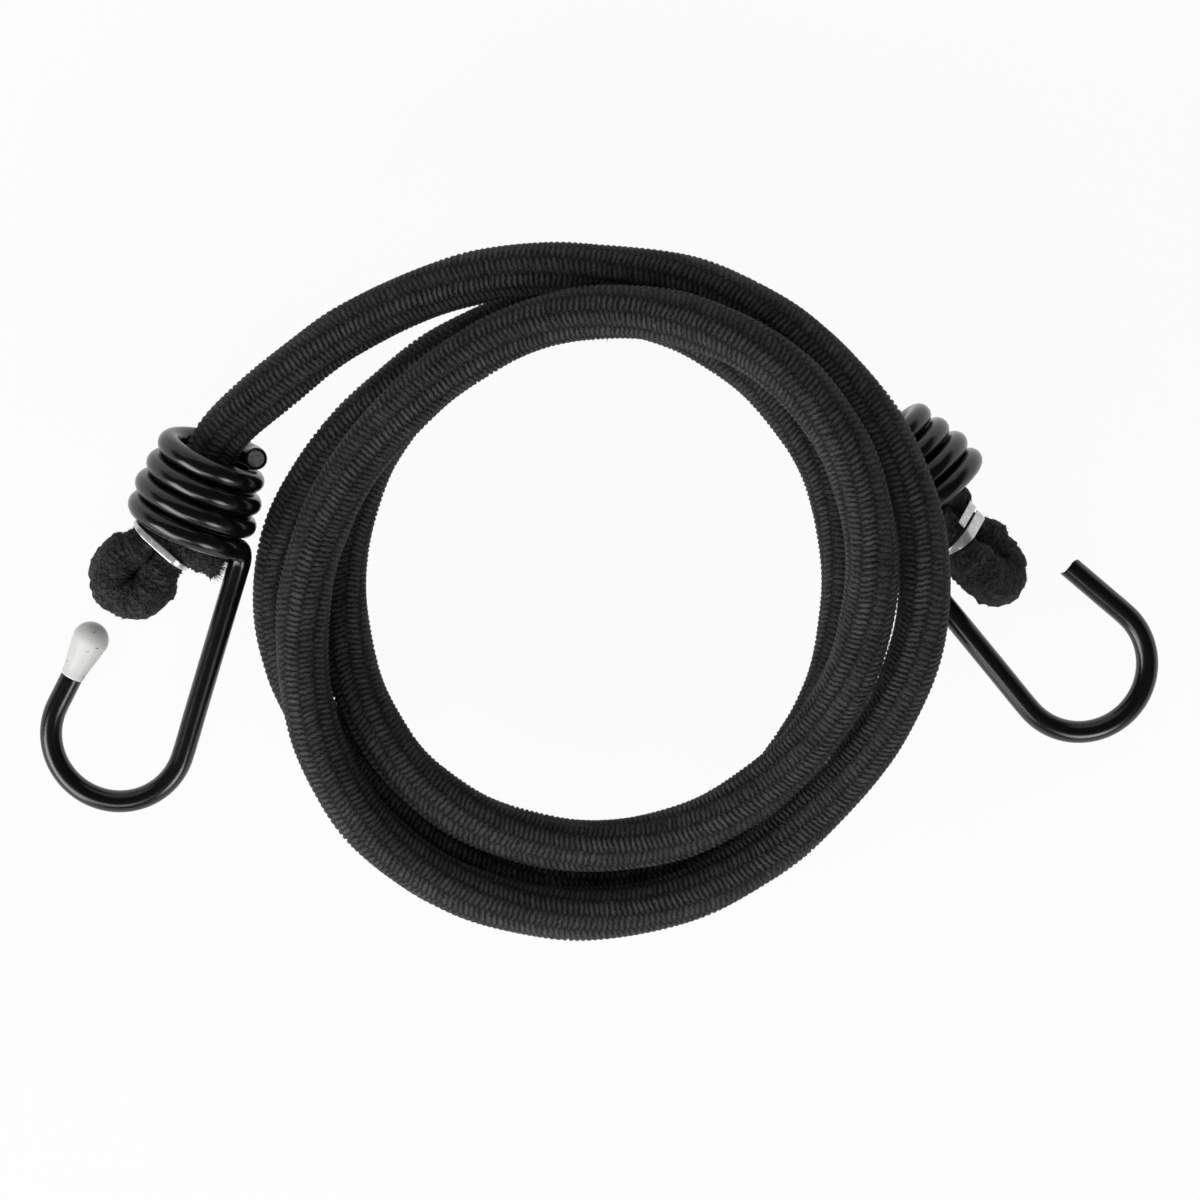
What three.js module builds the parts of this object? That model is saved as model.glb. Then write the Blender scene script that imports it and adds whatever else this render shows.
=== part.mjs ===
import * as THREE from 'three';

// A bungee cord laid down in a ring of three loops, with a coated wire hook at each end.
// Driving dimensions, in millimetres and degrees, +Z up from the surface that it lies on.

// Elastic cord: a braided jacket round a rubber core
const cordDiameter = 9.5;
const jacketWall = 1.2;
const coreGap = 0.15;
const seamGap = 0.3;
const jacketSides = 8;
const coreSides = 6;
const stepsPerTurn = 24;

// Lay of the loops: a row for each turn, at eight bearings clockwise from north,
// with the cord's distance from the ring's centre and the height of its centre line
const floorHeight = 0.4 * cordDiameter;
const turnRadii = [
  [57.1, 56.9, 57.8, 55.9, 57.8, 59.4, 53.6, 47.6],
  [49.4, 50.5, 48.2, 46.4, 46.2, 47.5, 47.1, 48.9],
  [51.2, 47.9, 45.0, 47.0, 52.1, 55.7, 58.1, 51.6],
];
const turnHeights = [
  [22.8, 29.4, 27.8, 14.2, 12.6, 14.0, 17.3, 24.2],
  [30.0, 38.2, 32.4, 19.2, 14.4, 10.6, 4.4, floorHeight],
  [...Array(6).fill(floorHeight), 7.4, 14.0],
];
const lastRadius = 51.4;
const lastHeight = 14.4;

// Free stretches between the hooks and the loops, by hand-laid points
const leftTailRoute = [[-60.7, 34.9, 15.8], [-46.1, 46.1, 17.0], [-30.9, 53.4, 18.8], [-15.3, 57.2, 20.9]];
const rightTailRoute = [[13.8, 50.9, 14.2], [27.5, 47.3, 14.0], [43.6, 36.6, 14.2]];
const tailSteps = 9;

// Wire hook: a cone of turns, a shank beside it and a round bend back to a straight tip
const wireDiameter = 4.1;
const coatingWall = 0.45;
const wireGap = 0.1;
const coatingSides = 8;
const wireSides = 6;
const coilTurns = 3.96;
const turnGap = 0.45;
const coilClearance = 0.9;
const coneSpread = 2.05;
const coneTurns = 2.5;
const stepsPerCoilTurn = 16;
const restingTurn = 3.75;
const shankStep = 1.2;
const rootLength = 4.0;
const rootSteps = 4;
const seatDistance = 41.2;
const throatRadius = 10.25;
const bendAngle = 188;
const bendStep = 12;
const tipLength = 13.5;
const restingTilt = 10.6;

// Vinyl tip cap
const capLength = 11;
const capSeat = 5.5;
const capLip = 0.15;
const capBulge = 1.3;
const capBottomGap = 0.2;
const capSegments = 16;

// Folded cord end, gathered by a clip below the coil
const entryDepth = 8;
const entryRest = 0.45;
const throatDepth = 3;
const throatCordRadius = 4.4;
const gatherLength = 2.6;
const gatherAside = 2.6;
const gatherCordRadius = 3.4;
const neckRadius = 2.6;
const legGap = 0.6;
const bightGap = 0.6;
const cutCordRadius = 3.1;
const stepsPerStop = 3;
const bightAngles = [-90, -45, 0, 45, 90];

// Clip: a flat strip wound round both legs
const clipWidth = 2.0;
const clipThickness = 0.8;
const clipGap = 0.45;
const clipMargin = 0.5;
const clipStep = 30;
const shiftStart = 90;
const shiftEnd = 240;

// Where each end lies on the floor plan and which way its bend points, how its hook and its fold are
// rolled about the coil, which side of the coil's mouth the cord lies on, and how its fold is gathered:
// the clip's place and turn in the fold's plane, the bight past it, the cut leg's run before it, and the
// strip's winding about the legs, from its first end to its last, with the first end set back by a shift
const ends = [
  {
    name: 'left',
    capped: true,
    place: [-74.3, 11.8],
    heading: -109.3,
    hookRoll: 0,
    foldRoll: 0,
    entrySide: 1,
    entrySlope: -0.12,
    clipPlace: [6.0, -3.7],
    neckAngle: -23,
    bightDistance: 6.8,
    bightCordRadius: 3.95,
    cutRoute: [[-4.2, 3.7], [-4.8, 6.6], [-3.8, 9.6]],
    clipStart: -195,
    clipEnd: -525,
    clipShift: 0,
  },
  {
    name: 'right',
    capped: false,
    place: [60.4, 16.4],
    heading: -48,
    hookRoll: 180,
    foldRoll: 125,
    entrySide: 1,
    entrySlope: 0,
    clipPlace: [8.2, 0.7],
    neckAngle: 0,
    bightDistance: 7.1,
    bightCordRadius: 4.1,
    cutRoute: [[-6.8, 4.0]],
    clipStart: -75,
    clipEnd: -465,
    clipShift: 2.6,
  },
];

const degree = Math.PI / 180;
const upAxis = new THREE.Vector3(0, 0, 1);
const cordRadius = cordDiameter / 2;
const wireRadius = wireDiameter / 2;
const boreRadius = wireRadius - coatingWall;
const coilPitch = wireDiameter + turnGap;
const coilTopRadius = cordRadius + coilClearance + wireRadius;
const coilRadius = coilTopRadius + coneSpread;
const coilDepth = restingTurn * coilPitch;
const shankOffset = coilRadius + shankStep;
const bendRadius = throatRadius + wireRadius;
const legSpread = neckRadius + legGap / 2;

const materials = {
  jacket: { color: 0x18181a, roughness: 0.85, metalness: 0 },
  core: { color: 0xb9a888, roughness: 0.7, metalness: 0 },
  coating: { color: 0x0c0c0d, roughness: 0.2, metalness: 0 },
  wire: { color: 0x9a9c9e, roughness: 0.35, metalness: 1 },
  clip: { color: 0xc4c7ca, roughness: 0.25, metalness: 1 },
  cap: { color: 0xe9e9e6, roughness: 0.5, metalness: 0 },
};

const bungee = new THREE.Group();

function addMesh(group, name, geometry, finish) {
  const mesh = new THREE.Mesh(geometry, new THREE.MeshStandardMaterial(materials[finish]));
  mesh.name = name;
  group.add(mesh);
  return mesh;
}

// Regular polygon with a flat side at the bottom
function polygon(radius, sides) {
  return Array.from({ length: sides }, (_, corner) => {
    const angle = (corner + 0.5) * 2 * Math.PI / sides - Math.PI / 2;
    return new THREE.Vector2(radius * Math.cos(angle), radius * Math.sin(angle));
  });
}

// Points with the direction of the line at each of them
function lineOf(points) {
  const last = points.length - 1;
  const tangents = points.map((_, index) => {
    const before = points[Math.max(index - 1, 0)];
    const after = points[Math.min(index + 1, last)];
    return after.clone().sub(before).normalize();
  });
  return { points, tangents };
}

// The same from a curve, between two places counted in its control points
function stretchOf(curve, from, to, steps) {
  const spans = curve.points.length - 1;
  const places = Array.from({ length: steps + 1 }, (_, step) => (from + (to - from) * step / steps) / spans);
  return {
    points: places.map((place) => curve.getPoint(place)),
    tangents: places.map((place) => curve.getTangent(place)),
  };
}

// Draws a line's ends back by a gap
function trimmed(line, startGap, endGap) {
  const points = line.points.map((point) => point.clone());
  points[0].addScaledVector(line.tangents[0], startGap);
  points.at(-1).addScaledVector(line.tangents.at(-1), -endGap);
  return { points, tangents: line.tangents };
}

// Across and up directions at each point, from one up direction or carried on from the point before
function framesOf(line, up, carried) {
  let last = up.clone();
  return line.points.map((at, index) => {
    const tangent = line.tangents[index];
    const rise = (carried ? last : up).clone();
    rise.addScaledVector(tangent, -rise.dot(tangent)).normalize();
    last = rise;
    return { at, rise, across: new THREE.Vector3().crossVectors(rise, tangent) };
  });
}

// Closed tube along a line, solid or with a bore, each given by a radius at every point
function tube(line, { radii, sides, bores, boreSides, up, carried = false, widen = 1, lowest = -Infinity }) {
  const frames = framesOf(line, up, carried);
  const positions = [];
  const triangles = [];
  const last = frames.length - 1;

  function ring(frame, radius, count) {
    polygon(radius, count).forEach(({ x, y }) => {
      const corner = frame.at.clone().addScaledVector(frame.across, x).addScaledVector(frame.rise, y * widen);
      positions.push(corner.x, corner.y, Math.max(corner.z, lowest));
    });
  }

  function wall(first, count, inward) {
    for (let index = 0; index < last; index++) {
      for (let corner = 0; corner < count; corner++) {
        const next = (corner + 1) % count;
        const near = first + index * count;
        const far = near + count;
        const start = near + corner;
        const faces = [[near + next, far + next], [far + next, far + corner]];
        faces.forEach((face) => triangles.push(start, ...(inward ? face.reverse() : face)));
      }
    }
  }

  frames.forEach((frame, index) => ring(frame, radii[index], sides));
  wall(0, sides, false);
  const boreStart = frames.length * sides;
  if (bores) {
    frames.forEach((frame, index) => ring(frame, bores[index], boreSides));
    wall(boreStart, boreSides, true);
  }

  for (const index of [0, last]) {
    const contour = polygon(radii[index], sides);
    const hole = bores ? polygon(bores[index], boreSides) : [];
    const corners = [...contour, ...hole];
    for (const face of THREE.ShapeUtils.triangulateShape(contour, bores ? [hole] : [])) {
      const flat = face.map((corner) => corners[corner]);
      const turnsLeft = THREE.ShapeUtils.area(flat) > 0;
      const outward = turnsLeft === (index === last) ? face : [...face].reverse();
      outward.forEach((corner) => {
        const onBore = corner >= sides;
        const start = onBore ? boreStart + index * boreSides - sides : index * sides;
        triangles.push(start + corner);
      });
    }
  }

  const geometry = new THREE.BufferGeometry();
  geometry.setAttribute('position', new THREE.Float32BufferAttribute(positions, 3));
  geometry.setIndex(triangles);
  geometry.computeVertexNormals();
  return geometry;
}

// Jacket and core of one stretch of cord
function addCord(group, name, line, radii, up, lowest) {
  const jacket = tube(line, {
    radii, sides: jacketSides, bores: radii.map((radius) => radius - jacketWall), boreSides: coreSides, up, lowest,
  });
  const core = tube(line, {
    radii: radii.map((radius) => radius - jacketWall - coreGap), sides: coreSides, up,
  });
  addMesh(group, `${name}_jacket`, jacket, 'jacket');
  addMesh(group, `${name}_core`, core, 'core');
}

// Hook in its own frame: X along the coil towards the bend, Y towards the shank

function coilPoint(turn) {
  const radius = THREE.MathUtils.lerp(coilTopRadius, coilRadius, Math.min(turn / coneTurns, 1));
  const angle = -2 * Math.PI * turn;
  const along = turn * coilPitch - coilDepth;
  return new THREE.Vector3(along, radius * Math.cos(angle), radius * Math.sin(angle));
}

function bendPoint(angle) {
  const turned = angle * degree;
  return new THREE.Vector3(seatDistance + bendRadius * Math.sin(turned), bendRadius * Math.cos(turned), 0);
}

const tipDirection = new THREE.Vector3(Math.cos(bendAngle * degree), -Math.sin(bendAngle * degree), 0);

// The wire's centre line, from its tip round the bend, up the shank and round the coil to its top end
function hookLine(straightTip) {
  const bend = [];
  for (let angle = 0; angle < bendAngle; angle += bendStep) {
    bend.push(bendPoint(angle));
  }
  const bendEnd = bendPoint(bendAngle);
  const points = [bendEnd.clone().addScaledVector(tipDirection, straightTip), bendEnd, ...bend.reverse()];
  const coilEnd = coilPoint(coilTurns);
  const root = new THREE.QuadraticBezierCurve3(
    new THREE.Vector3(coilEnd.x + rootLength, shankOffset, 0),
    new THREE.Vector3(coilEnd.x, shankOffset, 0),
    coilEnd,
  );
  points.push(...root.getPoints(rootSteps));
  const coilSteps = Math.round(coilTurns * stepsPerCoilTurn);
  for (let step = coilSteps - 1; step >= 0; step--) {
    points.push(coilPoint(coilTurns * step / coilSteps));
  }
  return lineOf(points);
}

// Bulb of the cap on its own Y axis, with a blind bore for the bare wire's end
function capGeometry() {
  const baseRadius = wireRadius + capLip;
  const bulgeRadius = wireRadius + capBulge;
  const shoulder = capLength - bulgeRadius;
  const boreDepth = tipLength - capSeat - seamGap + capBottomGap;
  const side = new THREE.SplineCurve([
    new THREE.Vector2(baseRadius, 0),
    new THREE.Vector2(baseRadius + capLip, 0.2 * shoulder),
    new THREE.Vector2(0.5 * (baseRadius + bulgeRadius), 0.55 * shoulder),
    new THREE.Vector2(bulgeRadius, shoulder),
  ]);
  const crown = new THREE.EllipseCurve(0, shoulder, bulgeRadius, bulgeRadius, 0, Math.PI / 2);
  const crownPoints = crown.getPoints(5).slice(1, -1);
  const profile = [
    new THREE.Vector2(0, boreDepth),
    new THREE.Vector2(boreRadius, boreDepth),
    new THREE.Vector2(boreRadius, 0),
    ...side.getPoints(6),
    ...crownPoints,
    new THREE.Vector2(0, capLength),
  ];
  return new THREE.LatheGeometry(profile, capSegments);
}

function addHook(group, name, capped) {
  const coatingLine = hookLine(capped ? capSeat : tipLength);
  const wireLine = hookLine(tipLength);
  const count = coatingLine.points.length;
  addMesh(group, `${name}_hook_coating`, tube(coatingLine, {
    radii: Array(count).fill(wireRadius),
    sides: coatingSides,
    bores: Array(count).fill(boreRadius),
    boreSides: wireSides,
    up: upAxis,
    carried: true,
  }), 'coating');
  addMesh(group, `${name}_hook_wire`, tube(wireLine, {
    radii: Array(count).fill(boreRadius - wireGap), sides: wireSides, up: upAxis, carried: true,
  }), 'wire');
  if (capped) {
    const cap = addMesh(group, `${name}_tip_cap`, capGeometry(), 'cap');
    cap.position.copy(bendPoint(bendAngle)).addScaledVector(tipDirection, capSeat + seamGap);
    cap.quaternion.setFromUnitVectors(new THREE.Vector3(0, 1, 0), tipDirection);
  }
}

// The cord's place in the fold's plane as it comes through the coil, lying against the coil's first turn
function entrySpot(end, along) {
  const mouthAside = end.entrySide * (coilClearance - entryRest);
  return new THREE.Vector2(along, mouthAside + (along + coilDepth) * end.entrySlope);
}

// Fold in its own plane: X along the coil, Y towards the cut leg, with the cord's radius at each stop
function foldPlan(end) {
  const centre = new THREE.Vector2(...end.clipPlace);
  const neck = new THREE.Vector2(Math.cos(end.neckAngle * degree), Math.sin(end.neckAngle * degree));
  const legs = new THREE.Vector2(-neck.y, neck.x);
  const from = (along, aside) => centre.clone().addScaledVector(neck, along).addScaledVector(legs, aside);
  const front = clipWidth / 2 + clipMargin;
  const back = -front - end.clipShift;
  const bightRadius = end.bightCordRadius + bightGap / 2;
  const bight = bightAngles.map((angle) => {
    const along = end.bightDistance + bightRadius * Math.cos(angle * degree);
    return [from(along, bightRadius * Math.sin(angle * degree)), end.bightCordRadius];
  });
  const stops = [
    [entrySpot(end, -entryDepth), cordRadius],
    [entrySpot(end, -throatDepth), throatCordRadius],
    [from(back - gatherLength, -gatherAside), gatherCordRadius],
    [from(back, -legSpread), neckRadius],
    [from(front, -legSpread), neckRadius],
    ...bight,
    [from(front, legSpread), neckRadius],
    [from(back, legSpread), neckRadius],
    ...end.cutRoute.map(([along, aside]) => [from(along, aside), cutCordRadius]),
  ];
  return { stops, from, neck };
}

function addFold(group, end, plan) {
  const { stops } = plan;
  const curve = new THREE.CatmullRomCurve3(stops.map(([spot]) => new THREE.Vector3(spot.x, spot.y, 0)));
  const spans = stops.length - 1;
  const line = stretchOf(curve, 0, spans, spans * stepsPerStop);
  const radii = line.points.map((_, step) => {
    const before = Math.min(Math.floor(step / stepsPerStop), spans - 1);
    const share = THREE.MathUtils.smoothstep(step / stepsPerStop - before, 0, 1);
    return THREE.MathUtils.lerp(stops[before][1], stops[before + 1][1], share);
  });
  addCord(group, `${end.name}_end`, line, radii, upAxis);
}

// Clip's strip round one leg after the other, moving from its set-back start to its place on the way under
function addClip(group, end, plan) {
  const reach = neckRadius + clipGap + clipThickness / 2;
  const points = [];
  for (let angle = end.clipStart; angle >= end.clipEnd; angle -= clipStep) {
    const wound = THREE.MathUtils.smoothstep(end.clipStart - angle, shiftStart, shiftEnd);
    const leg = legSpread * Math.sign(Math.cos(angle * degree));
    const spot = plan.from(-end.clipShift * (1 - wound), leg + reach * Math.cos(angle * degree));
    points.push(new THREE.Vector3(spot.x, spot.y, reach * Math.sin(angle * degree)));
  }
  addMesh(group, `${end.name}_clip`, tube(lineOf(points), {
    radii: Array(points.length).fill(clipThickness / Math.SQRT2),
    sides: 4,
    widen: clipWidth / clipThickness,
    up: new THREE.Vector3(plan.neck.x, plan.neck.y, 0),
  }), 'clip');
}

// One end of the bungee: hook and folded cord, resting on the coil's last turn and the bend
function addEnd(end) {
  const group = new THREE.Group();
  group.rotation.set(0, restingTilt * degree, end.heading * degree, 'ZYX');
  group.position.set(...end.place, 0);

  const hook = new THREE.Group();
  hook.rotation.x = end.hookRoll * degree;
  addHook(hook, end.name, end.capped);
  group.add(hook);
  group.updateMatrixWorld(true);
  group.position.z = -new THREE.Box3().setFromObject(hook, true).min.z;

  const fold = new THREE.Group();
  fold.rotation.x = end.foldRoll * degree;
  const plan = foldPlan(end);
  addFold(fold, end, plan);
  addClip(fold, end, plan);
  group.add(fold);

  bungee.add(group);
  group.updateMatrixWorld(true);
  return [0, cordDiameter].map((back) => {
    const spot = entrySpot(end, -entryDepth - back);
    return fold.localToWorld(new THREE.Vector3(spot.x, spot.y, 0));
  });
}

// The loops' points by bearing, distance and height
function loopPoints() {
  const bearings = [...turnRadii.flat(), lastRadius];
  const heights = [...turnHeights.flat(), lastHeight];
  const lay = new THREE.CatmullRomCurve3(
    bearings.map((radius, index) => new THREE.Vector3(90 - 45 * index, radius, heights[index])),
    false,
    'catmullrom',
  );
  const steps = turnRadii.length * stepsPerTurn;
  return Array.from({ length: steps + 1 }, (_, step) => {
    const { x: bearing, y: radius, z: height } = lay.getPoint(step / steps);
    const turned = bearing * degree;
    return new THREE.Vector3(radius * Math.cos(turned), radius * Math.sin(turned), height);
  });
}

// Least gap of a tube to itself, between points that are further apart along it than they are round a turn
function leastGap(points, diameter, apart) {
  let least = Infinity;
  for (let first = 0; first < points.length; first++) {
    for (let second = first + apart; second < points.length; second++) {
      least = Math.min(least, points[first].distanceTo(points[second]));
    }
  }
  return least - diameter;
}

const [leftEntry, rightEntry] = ends.map(addEnd);
const toVectors = (route) => route.map((spot) => new THREE.Vector3(...spot));
const leftTail = [...leftEntry, ...toVectors(leftTailRoute)];
const rightTail = [...toVectors(rightTailRoute), ...rightEntry.reverse()];
const loops = loopPoints();
const cordLine = new THREE.CatmullRomCurve3([...leftTail, ...loops, ...rightTail]);
const loopStart = leftTail.length;
const loopEnd = loopStart + loops.length - 1;
const cordEnd = cordLine.points.length - 1;

const stretches = [
  ['left_tail', stretchOf(cordLine, 0, loopStart, 2 * tailSteps), seamGap, seamGap],
  ['ring', stretchOf(cordLine, loopStart, loopEnd, loops.length - 1), 0, 0],
  ['right_tail', stretchOf(cordLine, loopEnd, cordEnd, 2 * tailSteps), seamGap, seamGap],
];
for (const [name, line, startGap, endGap] of stretches) {
  const radii = Array(line.points.length).fill(cordRadius);
  addCord(bungee, name, trimmed(line, startGap, endGap), radii, upAxis, 0);
}

const samplesPerTurn = 120;
const cordSamples = stretchOf(cordLine, loopStart, loopEnd, turnRadii.length * samplesPerTurn).points;
const coilSteps = Math.round(coilTurns * samplesPerTurn);
const coilSamples = Array.from({ length: coilSteps + 1 }, (_, step) => coilPoint(step / samplesPerTurn));
console.log('length of cord between the folds:', cordLine.getLength().toFixed(0), 'mm');
console.log('least gap between loops:', leastGap(cordSamples, cordDiameter, samplesPerTurn / 2).toFixed(2), 'mm');
console.log('least gap between coil turns:', leastGap(coilSamples, wireDiameter, samplesPerTurn / 2).toFixed(2), 'mm');

export default bungee;
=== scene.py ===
import math

import bpy
import numpy as np
from mathutils import Matrix, Vector


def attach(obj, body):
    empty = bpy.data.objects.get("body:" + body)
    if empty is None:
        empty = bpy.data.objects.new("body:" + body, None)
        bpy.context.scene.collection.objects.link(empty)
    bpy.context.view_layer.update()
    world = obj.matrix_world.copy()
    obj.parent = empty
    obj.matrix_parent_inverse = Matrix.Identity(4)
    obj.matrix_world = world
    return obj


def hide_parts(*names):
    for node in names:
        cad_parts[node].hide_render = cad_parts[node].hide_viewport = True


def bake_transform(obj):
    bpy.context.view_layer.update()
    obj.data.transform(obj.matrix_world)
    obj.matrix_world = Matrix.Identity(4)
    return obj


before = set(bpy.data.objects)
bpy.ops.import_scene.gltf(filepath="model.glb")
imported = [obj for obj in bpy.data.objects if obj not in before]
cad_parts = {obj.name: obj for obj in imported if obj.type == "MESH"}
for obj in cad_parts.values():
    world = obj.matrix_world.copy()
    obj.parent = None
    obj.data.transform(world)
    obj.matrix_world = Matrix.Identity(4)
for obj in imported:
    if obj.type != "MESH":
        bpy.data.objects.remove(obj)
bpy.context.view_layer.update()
print("frame loaded:", len(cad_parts), "nodes")

mm = 0.001
degree = math.pi / 180


# camera: straight above the cord, the whole picture 219 mm wide at the plane that the cord lies on
shot = {"height": 1.1, "centre": (0.0, -0.00183), "fieldWidth": 0.21924, "sensor": 36.0, "farthest": 20.0}
bpy.ops.object.camera_add(location=(*shot["centre"], shot["height"]), rotation=(0, 0, 0))
camera = bpy.context.object
camera.data.sensor_width = shot["sensor"]
camera.data.lens = shot["sensor"] * shot["height"] / shot["fieldWidth"]
camera.data.clip_end = shot["farthest"]
bpy.context.scene.camera = camera
bpy.context.scene.view_settings.view_transform = "Standard"
print("camera set")


def hexColor(text):
    parts = [int(text[k:k + 2], 16) / 255 for k in (1, 3, 5)]
    return [p / 12.92 if p <= 0.04045 else ((p + 0.055) / 1.055) ** 2.4 for p in parts] + [1.0]


def addNode(tree, kind, settings=(), **inputs):
    # inputs are named by socket, with spaces dropped, or by number as in0, in1
    node = tree.nodes.new(kind)
    for name, value in dict(settings).items():
        setattr(node, name, value)
    for name, value in inputs.items():
        if name.startswith("in") and name[2:].isdigit():
            socket = node.inputs[int(name[2:])]
        else:
            socket = next(s for s in node.inputs if s.name.replace(" ", "") == name)
        if isinstance(value, bpy.types.NodeSocket):
            tree.links.new(value, socket)
        else:
            socket.default_value = value
    return node


def addMath(tree, operation, first, second):
    return addNode(tree, "ShaderNodeMath", {"operation": operation}, in0=first, in1=second).outputs[0]


def addNoise(tree, grain, detail, distortion=0.0):
    # noise fixed to the piece, with the size of its grain in millimetres
    place = addNode(tree, "ShaderNodeTexCoord")
    return addNode(tree, "ShaderNodeTexNoise", Vector=place.outputs["Object"], Scale=1 / (grain * mm),
                   Detail=detail, Distortion=distortion)


def addMix(tree, share, first, second):
    # goes from the first colour to the second as the share rises
    mix = addNode(tree, "ShaderNodeMix", {"data_type": "RGBA"}, Factor=share, in6=first, in7=second)
    return mix.outputs[2]


def addShader(tree, **inputs):
    # the shader of a surface, joined to the material's output
    shader = addNode(tree, "ShaderNodeBsdfPrincipled", **inputs)
    addNode(tree, "ShaderNodeOutputMaterial", in0=shader.outputs[0])


def newMaterial(name):
    material = bpy.data.materials.new(name)
    material.use_nodes = True
    material.node_tree.nodes.clear()
    return material, material.node_tree


# braid of the cord's jacket, in millimetres: columns of crosswise yarn floats that lean by turns and stand
# unevenly; each wave of its wander has a share, a length, a number of turns and a phase
braid = {
    "columns": 10, "pitch": 1.0, "lean": 0.5, "floatLength": 1.25,
    "relief": 0.5, "middle": 0.55, "uneven": 0.22, "unevenSteps": (12.9, 7.8),
    "wander": 0.24, "wanderWaves": [(0.6, 23.0, 2, 0.0), (0.4, 9.1, -3, 1.3)],
}


def braidedPolyester(name, rub):
    # tightly braided textured polyester, matt dark grey, with painted shade: nearly black where the yarns
    # dive, and a painted highlight along the middle of each float; where it is rubbed, its filaments curl
    # loose and hide the floats
    material, tree = newMaterial(name)
    route = addNode(tree, "ShaderNodeUVMap", {"uv_map": "braid"})
    parts = addNode(tree, "ShaderNodeSeparateXYZ", in0=route.outputs[0])
    fibre = addNoise(tree, grain=0.45, detail=2.0)
    worn = addNoise(tree, grain=6.0, detail=2.0)
    evenWear = addNode(tree, "ShaderNodeMapRange", Value=worn.outputs[0], FromMin=0.3, FromMax=0.7,
                       ToMin=0.42, ToMax=0.58)
    loose = addNoise(tree, grain=0.9, detail=3.0, distortion=1.2)
    curl = addNode(tree, "ShaderNodeMapRange", Value=loose.outputs[0], FromMin=0.4, FromMax=0.64)
    fray = addNoise(tree, grain=0.7, detail=2.0)
    ragged = addNode(tree, "ShaderNodeSeparateXYZ", in0=fray.outputs[1])
    made = {
        "along": parts.outputs[0], "around": parts.outputs[1], "fibre": fibre.outputs[0],
        "worn": evenWear.outputs[0], "curl": curl.outputs[0],
        "frayAlong": ragged.outputs[0], "frayAround": ragged.outputs[1],
    }

    def work(steps):
        for label, operation, first, second in steps:
            made[label] = addMath(tree, operation, made.get(first, first), made.get(second, second))

    # the column of floats and the place across it, then the float and the place along it
    work([
        ("offAround", "SUBTRACT", "frayAround", 0.5),
        ("shiftAround", "MULTIPLY", "offAround", 0.5 + rub),
        ("roughAround", "ADD", "around", "shiftAround"),
        ("column", "FLOOR", "roughAround", 0.0),
        ("inColumn", "SUBTRACT", "roughAround", "column"),
        ("across", "SUBTRACT", "inColumn", 0.5),
        ("odd", "PINGPONG", "column", 1.0),
        ("twiceOdd", "MULTIPLY", "odd", 2.0),
        ("side", "SUBTRACT", "twiceOdd", 1.0),
        ("evenRows", "DIVIDE", "along", braid["pitch"]),
        ("offAlong", "SUBTRACT", "frayAlong", 0.5),
        ("shiftAlong", "MULTIPLY", "offAlong", 0.9 + rub),
        ("rows", "ADD", "evenRows", "shiftAlong"),
        ("leanSide", "MULTIPLY", "side", braid["lean"]),
        ("drift", "MULTIPLY", "leanSide", "across"),
        ("leaning", "ADD", "rows", "drift"),
        ("halfStep", "MULTIPLY", "odd", 0.5),
        ("yarn", "ADD", "leaning", "halfStep"),
        ("cell", "FLOOR", "yarn", 0.0),
        ("inCell", "SUBTRACT", "yarn", "cell"),
        ("within", "SUBTRACT", "inCell", 0.5),
    ])
    # every yarn takes the light a little differently
    spot = addNode(tree, "ShaderNodeCombineXYZ", in0=made["cell"], in1=made["column"])
    chance = addNode(tree, "ShaderNodeTexWhiteNoise", {"noise_dimensions": "2D"}, Vector=spot.outputs[0])
    made["chance"] = chance.outputs[0]
    # lens shape of one float and how high it is there; how bright it is painted there: a painted highlight
    # along its middle that falls to painted shade where the yarns dive
    work([
        ("twiceWithin", "MULTIPLY", "within", 2.0),
        ("squareAlong", "MULTIPLY", "twiceWithin", "twiceWithin"),
        ("reachAcross", "MULTIPLY", "across", 2.0 / braid["floatLength"]),
        ("sizeAcross", "ABSOLUTE", "reachAcross", 0.0),
        ("cubeAcross", "POWER", "sizeAcross", 3.0),
        ("lessAlong", "SUBTRACT", 1.0, "squareAlong"),
        ("fullLens", "SUBTRACT", "lessAlong", "cubeAcross"),
        ("lens", "MAXIMUM", "fullLens", 0.0),
        ("crown", "POWER", "lens", 1.7),
        ("floats", "MULTIPLY", "crown", 1 - rub),
        ("curls", "MULTIPLY", "curl", 1.1 * rub),
        ("pattern", "ADD", "floats", "curls"),
        ("yarnShade", "MULTIPLY", "chance", 0.3),
        ("fibreShade", "MULTIPLY", "fibre", 0.95),
        ("paired", "ADD", "yarnShade", "fibreShade"),
        ("shade", "MULTIPLY", "paired", "worn"),
        ("doubled", "MULTIPLY", "shade", 2.0),
        ("bright", "MULTIPLY", "pattern", "doubled"),
        ("rounded", "POWER", "lens", 0.5),
        ("floatRise", "MULTIPLY", "rounded", 1 - rub),
        ("curlRise", "MULTIPLY", "curl", 2.0 * rub),
        ("fibreRise", "MULTIPLY", "fibre", 0.7),
        ("yarnRise", "ADD", "floatRise", "curlRise"),
        ("height", "ADD", "yarnRise", "fibreRise"),
    ])
    # colour from the painted shade of the dives, nearly black, to the painted highlight on each float's
    # middle
    color = addMix(tree, made["bright"], hexColor("#040405"), hexColor("#4a4a4b"))
    bump = addNode(tree, "ShaderNodeBump", Strength=1.0, Distance=(0.2 + 0.2 * rub) * mm,
                   Height=made["height"])
    addShader(tree, BaseColor=color, Roughness=0.75, SpecularIORLevel=0.25, SheenWeight=0.04,
              SheenRoughness=0.5, Normal=bump.outputs[0])
    return material


def looseFilament():
    # broken filaments of the jacket's polyester: dark and dull
    material, tree = newMaterial("looseFilament")
    addShader(tree, BaseColor=hexColor("#262627"), Roughness=0.7, SpecularIORLevel=0.25)
    return material


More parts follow.
